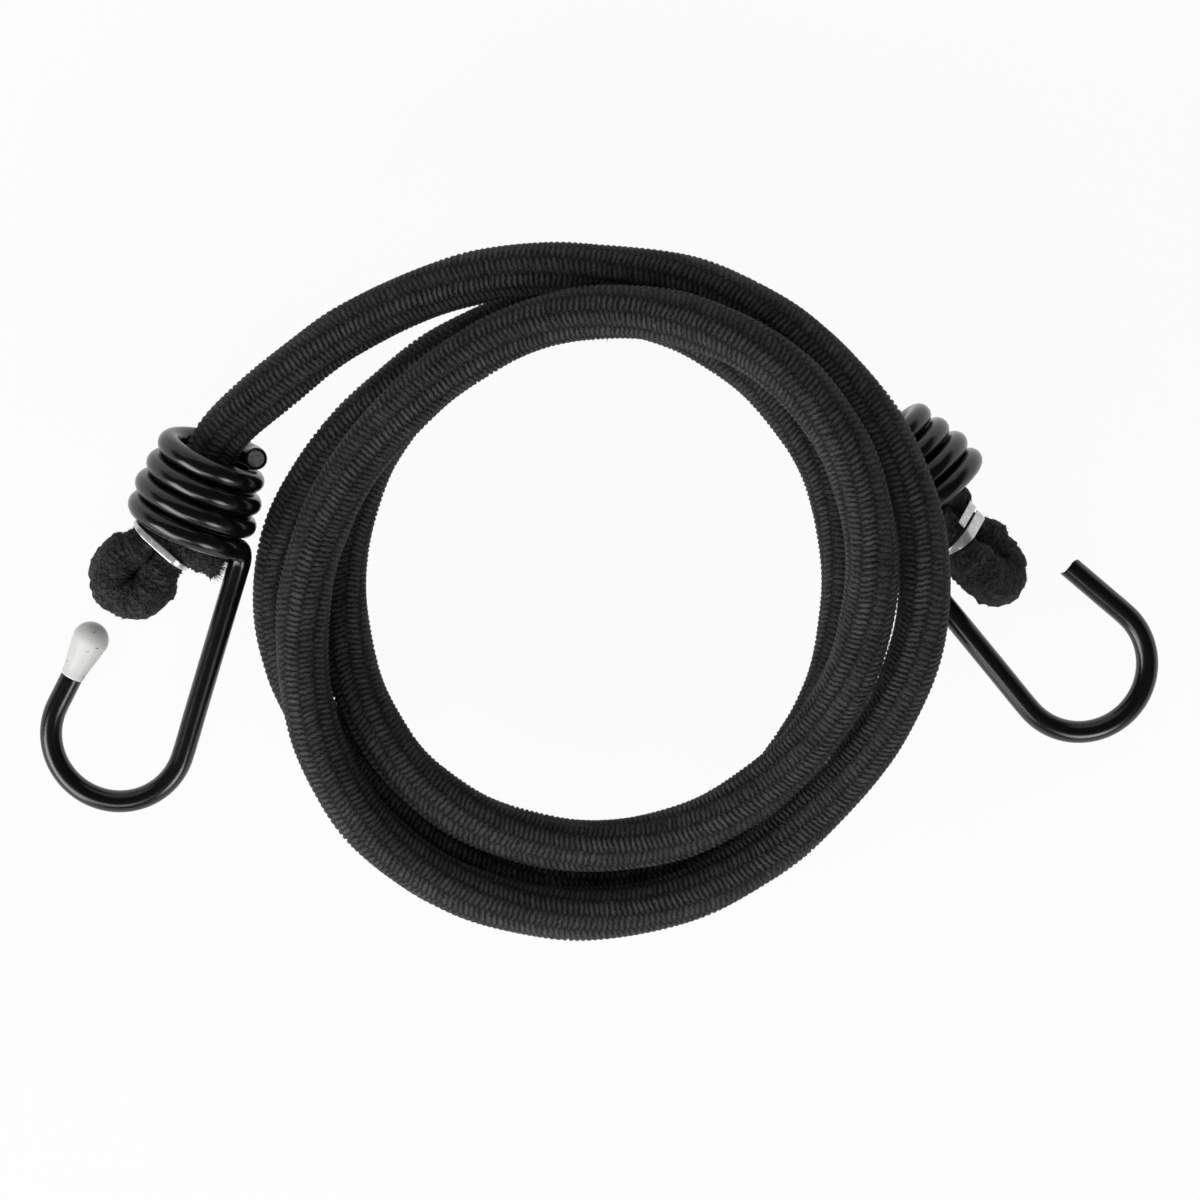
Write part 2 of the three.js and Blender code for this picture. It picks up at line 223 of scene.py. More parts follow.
def dippedVinyl():
    # plastisol dip on wire: deep glossy black with a faint orange-peel wave
    material, tree = newMaterial("dippedVinyl")
    peel = addNoise(tree, grain=5.0, detail=2.0)
    bump = addNode(tree, "ShaderNodeBump", Strength=0.3, Distance=0.035 * mm, Height=peel.outputs[0])
    rough = addNode(tree, "ShaderNodeMapRange", Value=peel.outputs[0], ToMin=0.19, ToMax=0.28)
    addShader(tree, BaseColor=hexColor("#060607"), Roughness=rough.outputs[0], IOR=1.54,
              Normal=bump.outputs[0])
    return material


def drawnSteel():
    # sheared end of bright drawn wire: grey metal with torn streaks
    material, tree = newMaterial("drawnSteel")
    tear = addNoise(tree, grain=0.45, detail=3.0)
    color = addMix(tree, tear.outputs[0], hexColor("#3c3d3f"), hexColor("#a9abae"))
    bump = addNode(tree, "ShaderNodeBump", Strength=0.8, Distance=0.15 * mm, Height=tear.outputs[0])
    addShader(tree, BaseColor=color, Metallic=0.5, Roughness=0.45, Normal=bump.outputs[0])
    return material


def zincPlate():
    # bright zinc on rolled strip: mirror patches broken by scuffs from the crimping jaws
    material, tree = newMaterial("zincPlate")
    scuff = addNoise(tree, grain=0.9, detail=3.0)
    color = addMix(tree, scuff.outputs[0], hexColor("#a3a6a8"), hexColor("#f2f3f4"))
    rough = addNode(tree, "ShaderNodeMapRange", Value=scuff.outputs[0], ToMin=0.12, ToMax=0.36)
    bump = addNode(tree, "ShaderNodeBump", Strength=0.5, Distance=0.1 * mm, Height=scuff.outputs[0])
    addShader(tree, BaseColor=color, Metallic=0.6, Roughness=rough.outputs[0], Normal=bump.outputs[0])
    return material


def softVinyl(tip):
    # dip-moulded white vinyl: satin, a little greyer in a cloudy patch round a spot near its tip, with a
    # few brown specks of dirt
    material, tree = newMaterial("softVinyl")
    place = addNode(tree, "ShaderNodeTexCoord")
    far = addNode(tree, "ShaderNodeVectorMath", {"operation": "DISTANCE"}, in0=place.outputs["Object"],
                  in1=tuple(value * mm for value in tip))
    near = addNode(tree, "ShaderNodeMapRange", Value=far.outputs["Value"], FromMin=5.5 * mm,
                   FromMax=1.0 * mm)
    cloud = addNoise(tree, grain=3.0, detail=3.0)
    # a cloudy patch where the white turns greyer, fading out within 5.5 mm of a spot near the tip
    greyerNearTip = addMath(tree, "MULTIPLY", near.outputs[0], cloud.outputs[0])
    greyed = addMix(tree, greyerNearTip, hexColor("#d3d3d1"), hexColor("#c4c3c0"))
    dirt = addNoise(tree, grain=0.9, detail=1.0)
    speck = addNode(tree, "ShaderNodeMapRange", Value=dirt.outputs[0], FromMin=0.71, FromMax=0.76)
    soiled = addMix(tree, speck.outputs[0], greyed, hexColor("#8c8270"))
    addShader(tree, BaseColor=soiled, Roughness=0.45, IOR=1.5, SubsurfaceWeight=0.1,
              SubsurfaceScale=0.8 * mm)
    return material


finishes = {
    "jacket": braidedPolyester("braidedPolyester", 0.0),
    "rubbedJacket": braidedPolyester("rubbedPolyester", 0.6),
    "fuzz": looseFilament(),
    "coating": dippedVinyl(),
    "wire": drawnSteel(),
    "clip": zincPlate(),
}
print("materials made:", ", ".join(finishes))


def splinePoints(points, places, even=False):
    # points at places counted in control points, on a curve that goes through all of them
    points = np.asarray(points, float)
    last = len(points) - 1
    padded = np.vstack([2 * points[0] - points[1], points, 2 * points[-1] - points[-2]])
    found = []
    for place in places:
        first = min(int(place), last - 1)
        share = place - first
        a, b, c, d = padded[first:first + 4]
        if even:
            leave = 0.5 * (c - a)
            arrive = 0.5 * (d - b)
        else:
            spans = ((a, b), (b, c), (c, d))
            before, between, after = [max(np.linalg.norm(q - p), 1e-9) ** 0.5 for p, q in spans]
            leave = between * ((b - a) / before - (c - a) / (before + between) + (c - b) / between)
            arrive = between * ((c - b) / between - (d - b) / (between + after) + (d - c) / after)
        square = share * share
        cube = square * share
        found.append((2 * cube - 3 * square + 1) * b + (cube - 2 * square + share) * leave
                     + (3 * square - 2 * cube) * c + (cube - square) * arrive)
    return np.array(found)


def finely(points, stepsPerSpan):
    spans = len(points) - 1
    return splinePoints(points, np.linspace(0, spans, stepsPerSpan * spans + 1))


def evenly(points, step, extra):
    # the same line with points at even steps, and a value carried along it
    gaps = np.linalg.norm(np.diff(points, axis=0), axis=1)
    reach = np.concatenate([[0], np.cumsum(gaps)])
    marks = np.linspace(0, reach[-1], max(2, int(round(reach[-1] / step)) + 1))
    line = np.stack([np.interp(marks, reach, points[:, k]) for k in range(3)], axis=1)
    return line, marks, np.interp(marks, reach, extra)


def eased(share):
    return share * share * (3 - 2 * share)


def floatHeight(along, around):
    # height of the braid's floats at a place on the jacket, from 0 to 1
    column = np.floor(around)
    across = around - column - 0.5
    odd = np.mod(column, 2)
    yarn = along / braid["pitch"] + (2 * odd - 1) * across * braid["lean"] + odd * 0.5
    within = yarn - np.floor(yarn) - 0.5
    lens = 1 - (2 * within) ** 2 - np.abs(2 * across / braid["floatLength"]) ** 3
    yarnStep, columnStep = braid["unevenSteps"]
    uneven = 1 - braid["uneven"] + braid["uneven"] * np.sin(yarnStep * np.floor(yarn) + columnStep * column)
    return np.sqrt(np.clip(lens, 0, 1)) * uneven


def linkPiece(name, mesh, finish):
    piece = bpy.data.objects.new(name, mesh)
    bpy.context.collection.objects.link(piece)
    mesh.materials.append(finishes[finish])
    return piece


cordShape = {"radius": 4.75, "sides": 20, "ringsPerYarn": 4, "twistLength": 420.0, "clearOfFloor": 0.03}
crumpleShape = {
    "size": 0.1, "reliefShare": 0.4, "roughShare": 0.6, "waves": 7, "turns": (1, 6), "lengths": (2.5, 7.0),
}
ringStep = braid["pitch"] / cordShape["ringsPerYarn"]
surfaces = {}   # points, outward directions and tangents of each cord's skin, for the fuzz


def crumpled(angle, marks, seed):
    # uneven rise of a skin that is squeezed and rubbed
    chance = np.random.default_rng(seed)
    rough = chance.normal(0, 1, angle.shape)
    rise = crumpleShape["roughShare"] * (rough + np.roll(rough, 1, axis=0) + np.roll(rough, 1, axis=1))
    for _ in range(crumpleShape["waves"]):
        turns = chance.integers(*crumpleShape["turns"])
        length = chance.uniform(*crumpleShape["lengths"])
        phase = chance.uniform(0, 2 * np.pi, 2)
        lengthwise = np.sin(2 * np.pi * marks[:, None] / length + phase[1])
        rise = rise + np.sin(turns * angle + phase[0]) * lengthwise
    return crumpleShape["size"] * rise


def cordMesh(name, line, marks, radii, up, finish="jacket", crumpleSeed=None):
    # braided tube along a line in millimetres, closed at both ends, with its braid in the UV map
    sides = cordShape["sides"]
    rings = len(line)
    tangents = np.gradient(line, axis=0)
    tangents /= np.linalg.norm(tangents, axis=1)[:, None]
    rise = np.asarray(up, float) - tangents * (tangents @ np.asarray(up, float))[:, None]
    rise /= np.linalg.norm(rise, axis=1)[:, None]
    across = np.cross(rise, tangents)
    share = np.arange(sides) / sides
    turn = 2 * np.pi * share[None, :]
    angle = turn + 2 * np.pi * marks[:, None] / cordShape["twistLength"]
    # the rows of floats wander a little along the cord
    along = np.repeat(marks[:, None], sides, axis=1)
    for part, length, turns, phase in braid["wanderWaves"]:
        wave = np.sin(2 * np.pi * marks[:, None] / length + turns * turn + phase)
        along = along + braid["wander"] * part * wave
    around = np.broadcast_to(share * braid["columns"], along.shape)
    relief = braid["relief"] * (floatHeight(along, around) - braid["middle"])
    if crumpleSeed is not None:
        relief = crumpleShape["reliefShare"] * relief + crumpled(angle, marks, crumpleSeed)
    reach = radii[:, None] + relief
    outward = np.cos(angle)[:, :, None] * across[:, None, :] + np.sin(angle)[:, :, None] * rise[:, None, :]
    spots = line[:, None, :] + reach[:, :, None] * outward
    spots[:, :, 2] = np.maximum(spots[:, :, 2], cordShape["clearOfFloor"])
    surfaces[name] = (spots, outward, tangents)

    ring = np.arange(rings - 1)[:, None] * sides
    corner = np.arange(sides)[None, :]
    after = (corner + 1) % sides
    quads = np.stack([ring + corner, ring + after, ring + sides + after, ring + sides + corner], axis=-1)
    wrapped = np.hstack([along, along[:, :1]])
    columns = np.broadcast_to(np.arange(sides + 1) * braid["columns"] / sides, wrapped.shape)
    routes = np.stack([wrapped, columns], axis=-1)
    corners = np.stack([routes[:-1, :-1], routes[:-1, 1:], routes[1:, 1:], routes[1:, :-1]], axis=2)
    faces = quads.reshape(-1, 4).tolist()
    flat = [corners.reshape(-1, 2)]
    # fans close the two ends
    for low, centre, turned in ((0, rings * sides, True), ((rings - 1) * sides, rings * sides + 1, False)):
        for k in range(sides):
            pair = [low + k, low + (k + 1) % sides]
            faces.append((pair[::-1] if turned else pair) + [centre])
        flat.append(np.repeat(routes[low // sides, :sides], 3, axis=0))
    mesh = bpy.data.meshes.new(name)
    vertices = np.vstack([spots.reshape(-1, 3), line[0], line[-1]]) * mm
    mesh.from_pydata(vertices.tolist(), [], faces)
    layer = mesh.uv_layers.new(name="braid")
    layer.data.foreach_set("uv", np.vstack(flat).astype(np.float32).ravel())
    mesh.polygons.foreach_set("use_smooth", np.ones(len(faces), bool))
    mesh.update()
    return linkPiece(name, mesh, finish)


# loose filaments in millimetres; each kind has a count, a shortest and a longest length, and a spread
fuzzShape = {
    "rootDepth": 0.15, "rootRadius": 0.055, "middlePlace": 0.55, "middleRadius": 0.04,
    "sag": 0.35, "middleSag": 0.3,
    "ring": (2600, 0.25, 0.6, 0.8), "ringStray": (40, 0.8, 1.6, 0.8), "ringSeed": 7,
    "fold": (2600, 0.25, 0.55, 0.7), "foldStray": (40, 0.6, 1.2, 0.7), "hiddenPart": 5,
    "fray": (170, 0.7, 1.9, 0.4), "frayReach": 0.6,
}


def fuzzPiece(name, patches, seed):
    # loose filaments on a skin: tapered three-sided spikes, each closed
    chance = np.random.default_rng(seed)
    parts = []
    for skin, outward, kind in patches:
        count, shortest, longest, spread = fuzzShape[kind]
        pick = chance.integers(0, len(skin), count)
        lean = outward[pick] + spread * chance.normal(0, 1, (count, 3))
        lean /= np.linalg.norm(lean, axis=1)[:, None]
        length = chance.uniform(shortest, longest, (count, 1))
        sag = chance.normal(0, fuzzShape["sag"], (count, 3)) * length
        root = skin[pick] - fuzzShape["rootDepth"] * outward[pick]
        middle = root + fuzzShape["middlePlace"] * length * lean + fuzzShape["middleSag"] * sag
        tip = root + length * lean + sag
        first = np.cross(lean, chance.normal(0, 1, (count, 3)))
        first /= np.linalg.norm(first, axis=1)[:, None]
        second = np.cross(lean, first)
        rows = []
        for centre, thick in ((root, fuzzShape["rootRadius"]), (middle, fuzzShape["middleRadius"])):
            for angle in (0, 120, 240):
                turned = angle * degree
                rows.append(centre + thick * (math.cos(turned) * first + math.sin(turned) * second))
        rows.append(tip)
        parts.append(np.stack(rows, axis=1))
    spikes = np.concatenate(parts)
    spikes[:, :, 2] = np.maximum(spikes[:, :, 2], cordShape["clearOfFloor"])
    count, corners = spikes.shape[:2]
    shape = [(2, 1, 0), (0, 1, 4, 3), (1, 2, 5, 4), (2, 0, 3, 5), (3, 4, 6), (4, 5, 6), (5, 3, 6)]
    faces = [tuple(corners * spike + k for k in face) for spike in range(count) for face in shape]
    mesh = bpy.data.meshes.new(name)
    mesh.from_pydata((spikes.reshape(-1, 3) * mm).tolist(), [], faces)
    mesh.update()
    return linkPiece(name, mesh, "fuzz")


# where each end lies, how its hook and fold are rolled, and how its fold is gathered
ends = {
    "left": {
        "place": (-74.3, 11.8, 11.834), "heading": -109.3, "tilt": 10.6, "hookRoll": 0, "foldRoll": 0,
        "entryAside": 0.45, "entrySlope": -0.12, "clipPlace": (5.2, -3.6), "neckAngle": -23,
        "swell": (-1.4, -2.7, 3.2), "shoulder": (3.6, 3.1, 3.7),
        "bightDistance": 7.7, "bightRadius": 4.15, "bightBend": 4.0,
        "cutRoute": [(-3.0, 5.0), (-4.1, 8.0), (-4.3, 10.7)],
        "clipStart": -195, "clipEnd": -525, "clipShift": 0.0, "clipWidth": 1.35,
        "clipTaper": [(0, 0.6), (0.1, 0.8), (0.25, 1.05), (0.42, 0.7), (0.5, 0.95), (1, 1.0)],
        "crumpleSeed": 8, "fuzzSeed": 15,
    },
    "right": {
        "place": (60.4, 16.4, 11.834), "heading": -48, "tilt": 10.6, "hookRoll": 180, "foldRoll": 125,
        "entryAside": 0.45, "entrySlope": 0, "clipPlace": (8.0, 0.7), "neckAngle": 0,
        "swell": (-1.6, -4.4, 4.1), "shoulder": (3.9, 3.8, 4.4),
        "bightDistance": 7.3, "bightRadius": 4.35, "bightBend": 3.95,
        "cutRoute": [(-6.6, 4.0)],
        "clipStart": -76, "clipEnd": -463, "clipShift": 2.35, "clipWidth": 2.1,
        "clipTaper": [(0, 0.75), (0.1, 0.9), (0.5, 0.9), (0.7, 0.45), (0.85, 0.9), (1, 1.08)],
        "crumpleSeed": 9, "fuzzSeed": 16,
    },
}


def placement(end, roll):
    # from an end's own frame, in millimetres, to the floor plan
    heading = Matrix.Rotation(end["heading"] * degree, 4, "Z")
    tilt = Matrix.Rotation(end["tilt"] * degree, 4, "Y")
    return Matrix.Translation(end["place"]) @ heading @ tilt @ Matrix.Rotation(roll * degree, 4, "X")


def inMetres(matrix):
    return Matrix.Translation(matrix.translation * mm) @ matrix.to_3x3().to_4x4()


def placed(points, matrix):
    grid = np.array(matrix)
    return np.asarray(points, float) @ grid[:3, :3].T + grid[:3, 3]


# fold of the cord below the coil, gathered by its clip
foldShape = {
    "mouthDepth": 17.06, "entryDepth": 8.0, "throatDepth": 3.0, "throatRadius": 4.4, "gatherLength": 2.6,
    "gatherAside": 2.6, "gatherRadius": 3.6, "neckRadius": 3.0, "legSpread": 2.75, "clipReach": 1.4,
    "cutRadius": 3.1, "stepsPerSpan": 24,
}


def entrySpot(end, along):
    aside = end["entryAside"] + (along + foldShape["mouthDepth"]) * end["entrySlope"]
    return (along, aside)


def neckAxes(end):
    # directions along the gathered neck and across its two legs
    turned = end["neckAngle"] * degree
    neck = np.array([math.cos(turned), math.sin(turned)])
    return neck, np.array([-neck[1], neck[0]])


def foldPlan(end):
    # places in the fold's plane and the cord's radius at each
    centre = np.array(end["clipPlace"])
    neck, legs = neckAxes(end)

    def spot(along, aside):
        return tuple(centre + neck * along + legs * aside)

    front = foldShape["clipReach"]
    back = -front - end["clipShift"]
    bend = end["bightBend"]
    full, wide, thick = end["shoulder"]
    swellAlong, swellAside, swellRadius = end["swell"]
    spread = foldShape["legSpread"]
    stops = [
        (entrySpot(end, -foldShape["entryDepth"]), cordShape["radius"]),
        (entrySpot(end, -foldShape["throatDepth"]), foldShape["throatRadius"]),
        (spot(back - foldShape["gatherLength"], -foldShape["gatherAside"]), foldShape["gatherRadius"]),
        (spot(back + swellAlong, swellAside), swellRadius),
        (spot(back, -spread), foldShape["neckRadius"]),
        (spot(front, -spread), foldShape["neckRadius"]),
        (spot(full, -wide), thick),
    ]
    for angle in (-90, -45, 0, 45, 90):
        turn = angle * degree
        place = spot(end["bightDistance"] + bend * math.cos(turn), bend * math.sin(turn))
        stops.append((place, end["bightRadius"]))
    stops += [
        (spot(full, wide), thick),
        (spot(front, spread), foldShape["neckRadius"]),
        (spot(back, spread), foldShape["neckRadius"]),
    ]
    return stops + [(spot(*place), foldShape["cutRadius"]) for place in end["cutRoute"]]


def foldPiece(name, end, startMark):
    stops = foldPlan(end)
    spans = len(stops) - 1
    places = np.linspace(0, spans, spans * foldShape["stepsPerSpan"] + 1)
    flat = splinePoints([(*place, 0.0) for place, _ in stops], places)
    widths = np.array([radius for _, radius in stops])
    low = np.minimum(places.astype(int), spans - 1)
    radii = widths[low] + (widths[low + 1] - widths[low]) * eased(places - low)
    matrix = placement(end, end["foldRoll"])
    line, marks, radii = evenly(placed(flat, matrix), ringStep, radii)
    up = np.array(matrix)[:3, 2]
    return cordMesh(name, line, marks + startMark, radii, up, "rubbedJacket", end["crumpleSeed"])


# lay of the loops: a row for each turn, at eight bearings clockwise from north, in millimetres
lay = {
    "turnRadii": [
        [57.1, 56.9, 57.8, 55.65, 58.4, 59.5, 52.9, 47.6],
        [49.4, 50.5, 48.05, 46.1, 46.2, 47.5, 47.1, 48.9],
        [51.2, 47.9, 45.0, 46.7, 52.1, 54.5, 58.3, 51.6],
    ],
    "turnHeights": [
        [22.8, 29.4, 27.8, 14.2, 12.6, 14.0, 17.3, 24.2],
        [30.0, 38.2, 32.4, 18.8, 13.0, 11.4, 5.8, 3.8],
        [3.8, 3.8, 3.8, 4.2, 5.2, 4.8, 7.2, 14.0],
    ],
    "lastRadius": 51.4, "lastHeight": 14.4, "north": 90, "bearingStep": 45,
    "leftTail": [(-60.7, 34.9, 15.8), (-46.1, 46.1, 17.0), (-30.9, 53.4, 18.8), (-15.3, 57.2, 20.9)],
    "rightTail": [(13.8, 50.9, 14.2), (27.5, 47.3, 14.0), (43.6, 36.6, 14.2)],
    "stepsPerTurn": 24, "stepsPerSpan": 16, "ringsPerStop": 12,
}


def loopPoints():
    radii = [radius for row in lay["turnRadii"] for radius in row] + [lay["lastRadius"]]
    heights = [height for row in lay["turnHeights"] for height in row] + [lay["lastHeight"]]
    bearings = [lay["north"] - lay["bearingStep"] * index for index in range(len(radii))]
    steps = len(lay["turnRadii"]) * lay["stepsPerTurn"]
    plan = list(zip(bearings, radii, heights))
    found = splinePoints(plan, np.linspace(0, len(plan) - 1, steps + 1), even=True)
    bearing = found[:, 0] * degree
    return np.column_stack([found[:, 1] * np.cos(bearing), found[:, 1] * np.sin(bearing), found[:, 2]])


def entryPoints(end):
    matrix = placement(end, end["foldRoll"])
    depth = foldShape["entryDepth"]
    spots = [entrySpot(end, -depth - back) for back in (0, 2 * cordShape["radius"])]
    return placed([(*spot, 0.0) for spot in spots], matrix)


leftEntry = entryPoints(ends["left"])
rightEntry = entryPoints(ends["right"])
loops = loopPoints()
route = np.vstack([leftEntry, lay["leftTail"], loops, lay["rightTail"], rightEntry[::-1]])
loopStart = len(leftEntry) + len(lay["leftTail"])
loopEnd = loopStart + len(loops) - 1
fine = finely(route, lay["stepsPerSpan"])
wholeLine, wholeMarks, control = evenly(fine, ringStep, np.linspace(0, len(route) - 1, len(fine)))
ringStart = int(np.searchsorted(control, loopStart))
ringEnd = int(np.searchsorted(control, loopEnd))
stretches = {
    "leftTail": slice(0, ringStart + 1),
    "ring": slice(ringStart, ringEnd + 1),
    "rightTail": slice(ringEnd, len(wholeLine)),
}
cords = {}
for name, part in stretches.items():
    line = wholeLine[part]
    radii = np.full(len(line), cordShape["radius"])
    cords[name] = cordMesh(name, line, wholeMarks[part], radii, (0, 0, 1))
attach(cords["ring"], "cord")
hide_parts("ring_jacket", "ring_core")
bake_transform(cords["leftTail"])
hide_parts("left_tail_jacket", "left_tail_core")
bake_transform(cords["rightTail"])
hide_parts("right_tail_jacket", "right_tail_core")

# folds carry the braid on from the tails, and are rubbed rough
for side, end in ends.items():
    mark = 0.0 if side == "left" else wholeMarks[-1]
    fold = foldPiece(side + "Fold", end, mark)
    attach(fold, side + "_end")
    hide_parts(side + "_end_jacket", side + "_end_core")
    skin, outward, tangents = surfaces[side + "Fold"]
    hidden = len(skin) // fuzzShape["hiddenPart"]
    shown = (skin[hidden:].reshape(-1, 3), outward[hidden:].reshape(-1, 3))
    middle = skin[-1].mean(axis=0)
    cut = middle + fuzzShape["frayReach"] * (skin[-1] - middle)
    direction = np.broadcast_to(tangents[-1], cut.shape)
    patches = [(*shown, "fold"), (*shown, "foldStray"), (cut, direction, "fray")]
    fuzz = fuzzPiece(side + "Fuzz", patches, end["fuzzSeed"])
    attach(fuzz, side + "_end")
    print(side, "fold:", len(fold.data.polygons), "faces,", len(fuzz.data.polygons), "of fuzz")
skin, outward, _ = surfaces["ring"]
shown = (skin.reshape(-1, 3), outward.reshape(-1, 3))
fuzz = fuzzPiece("ringFuzz", [(*shown, "ring"), (*shown, "ringStray")], fuzzShape["ringSeed"])
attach(fuzz, "cord")
print("ring fuzz:", len(fuzz.data.polygons), "faces")


# wire hook: a cone of turns, a shank and a round bend, in its own frame along the coil
hookShape = {
    "wireRadius": 2.05, "steelRadius": 1.5, "turns": 3.96, "restingTurn": 3.75, "pitch": 4.12,
    "topRadius": 7.7, "coilRadius": 9.75, "coneTurns": 2.5, "shankOffset": 10.95, "rootLength": 4.0,
    "seatDistance": 41.2, "bendRadius": 12.3, "bendAngle": 188, "tipLength": 13.5,
    "steelShort": 0.5, "steelSetback": 0.14, "coilSteps": 63, "bendSteps": 24, "stepsPerSpan": 4,
    "roundness": 6, "smoothAngle": 50,
}


def coilPoint(turn):
    share = min(turn / hookShape["coneTurns"], 1)
    radius = hookShape["topRadius"] + (hookShape["coilRadius"] - hookShape["topRadius"]) * share
    angle = -2 * math.pi * turn
    along = (turn - hookShape["restingTurn"]) * hookShape["pitch"]
    return (along, radius * math.cos(angle), radius * math.sin(angle))


def bendPoint(angle):
    turned = angle * degree
    return (hookShape["seatDistance"] + hookShape["bendRadius"] * math.sin(turned),
            hookShape["bendRadius"] * math.cos(turned), 0.0)


def tipPoint(distance):
    turned = hookShape["bendAngle"] * degree
    x, y, z = bendPoint(hookShape["bendAngle"])
    return (x + math.cos(turned) * distance, y - math.sin(turned) * distance, z)


def hookLine(straightTip):
    # from the tip round the bend, up the shank and round the coil to its top end
    points = [tipPoint(straightTip * share) for share in (1.0, 0.66, 0.33)]
    points += [bendPoint(angle) for angle in np.linspace(hookShape["bendAngle"], 0, hookShape["bendSteps"])]
    coilEnd = coilPoint(hookShape["turns"])
    shankEnd = np.array([coilEnd[0] + hookShape["rootLength"], hookShape["shankOffset"], 0])
    bendStart = np.array(bendPoint(0))
    points += [tuple(bendStart + (shankEnd - bendStart) * share) for share in (0.25, 0.5, 0.75)]
    corner = np.array([coilEnd[0], hookShape["shankOffset"], 0])
    for share in (0, 0.25, 0.5, 0.75, 1):
        points.append(tuple((1 - share) ** 2 * shankEnd + 2 * share * (1 - share) * corner
                            + share ** 2 * np.array(coilEnd)))
    steps = hookShape["coilSteps"]
    points += [coilPoint(hookShape["turns"] * step / steps) for step in range(steps - 1, -1, -1)]
    return finely(points, hookShape["stepsPerSpan"])


def selectOnly(piece):
    bpy.ops.object.select_all(action="DESELECT")
    piece.select_set(True)
    bpy.context.view_layer.objects.active = piece


def drawPath(name, line, scales):
    # a path through points in millimetres, with the width of its section at each
    bpy.ops.object.select_all(action="DESELECT")
    bpy.ops.curve.primitive_nurbs_path_add(location=(0, 0, 0))
    path = bpy.context.object
    path.name = name
    path.data.splines.clear()
    spline = path.data.splines.new("POLY")
    spline.points.add(len(line) - 1)
    spline.points.foreach_set("co", np.column_stack([line * mm, np.ones(len(line))]).ravel())
    spline.points.foreach_set("radius", np.asarray(scales, float))
    path.data.dimensions = "3D"
    path.data.use_fill_caps = True
    return path


weldDistance = 0.002   # in millimetres


def meshOf(path, finish, smoothAngle):
    # the path's tube as a mesh, with its end faces joined to its sides
    selectOnly(path)
    bpy.ops.object.convert(target="MESH")
    piece = bpy.context.object
    piece.data.materials.clear()
    piece.data.materials.append(finishes[finish])
    bpy.ops.object.mode_set(mode="EDIT")
    bpy.ops.mesh.select_all(action="SELECT")
    bpy.ops.mesh.remove_doubles(threshold=weldDistance * mm)
    bpy.ops.object.mode_set(mode="OBJECT")
    bpy.ops.object.shade_smooth_by_angle(angle=smoothAngle * degree)
    return piece


def wirePiece(name, line, radius, finish):
    path = drawPath(name, line, np.ones(len(line)))
    path.data.bevel_depth = radius * mm
    path.data.bevel_resolution = hookShape["roundness"]
    return meshOf(path, finish, hookShape["smoothAngle"])


# cut end of the coating; its reach is counted in wire radii, its facing is a cosine
cutShape = {"rounding": 0.22, "steps": 3, "wall": 0.4, "depth": 0.3, "reach": 1.2, "facing": 0.95}


def selectCut(piece, spot, outward):
    # selects the faces of a cut end, by their place and their normal
    selectOnly(piece)
    bpy.ops.object.mode_set(mode="EDIT")
    bpy.ops.mesh.select_mode(type="FACE")
    bpy.ops.mesh.select_all(action="DESELECT")
    bpy.ops.object.mode_set(mode="OBJECT")
    reach = cutShape["reach"] * hookShape["wireRadius"]
    for face in piece.data.polygons:
        away = face.center / mm - Vector(spot)
        face.select = away.length < reach and face.normal.dot(outward) > cutShape["facing"]
    bpy.ops.object.mode_set(mode="EDIT")


def cutEnd(piece, spot, before, dished):
    # rounds a cut edge and, where the steel shows, sinks its middle inside the coating
    outward = (Vector(spot) - Vector(before)).normalized()
    selectCut(piece, spot, outward)
    bpy.ops.mesh.dissolve_faces()
    bpy.ops.mesh.bevel(offset=cutShape["rounding"] * mm, segments=cutShape["steps"], affect="EDGES")
    bpy.ops.object.mode_set(mode="OBJECT")
    if not dished:
        return
    selectCut(piece, spot, outward)
    bpy.ops.mesh.inset(thickness=(cutShape["wall"] - cutShape["rounding"]) * mm)
    sunk = outward * -cutShape["depth"] * mm
    bpy.ops.mesh.extrude_region_move(TRANSFORM_OT_translate={"value": sunk})
    bpy.ops.object.mode_set(mode="OBJECT")


tornShape = {
    "overhang": 0.7, "reach": 2.6, "lip": 0.75, "lipSide": (-0.68, -0.73, 0.0), "corner": 0.35,
    "notch": 0.4, "notchPlace": 0.25, "notchWidth": 0.3,
}


def tearEnd(piece, spot, before):
    # draws the coating out to a torn lip on one side, with a notch beside it
    outward = (Vector(spot) - Vector(before)).normalized()
    side = Vector(tornShape["lipSide"])
    side = (side - outward * side.dot(outward)).normalized()
    for vertex in piece.data.vertices:
        away = vertex.co / mm - Vector(spot)
        depth = -away.dot(outward)
        if away.length > 2 * tornShape["reach"] or depth > tornShape["reach"]:
            continue
        aside = (away + outward * depth).dot(side) / hookShape["wireRadius"]
        fade = 1 - max(depth, 0) / tornShape["reach"]
        vertex.co += outward * mm * fade * tornShape["overhang"] * away.z / hookShape["wireRadius"]
        lip = tornShape["lip"] * max(aside, 0) ** 6
        fromNotch = (aside - tornShape["notchPlace"]) / tornShape["notchWidth"]
        notch = tornShape["notch"] * math.exp(-fromNotch ** 2)
        corner = tornShape["corner"] * max(-aside, 0) ** 4
        vertex.co += outward * (lip - notch - corner) * fade * fade * mm


# white cap on the left tip, and where the middle of its greyer patch lies from its far end
capShape = {
    "seat": 5.5, "gap": 0.3, "lip": 0.1, "bulge": 1.3, "length": 11.0,
    "bore": 7.9, "boreRoom": 0.05, "edge": 0.12, "lipPlace": 0.2, "flarePlace": 0.55,
    "sideSteps": 6, "crownSteps": 12, "segments": 48, "weld": 0.005, "smoothAngle": 45,
    "smudge": (2.0, 0.0, 1.5),
}


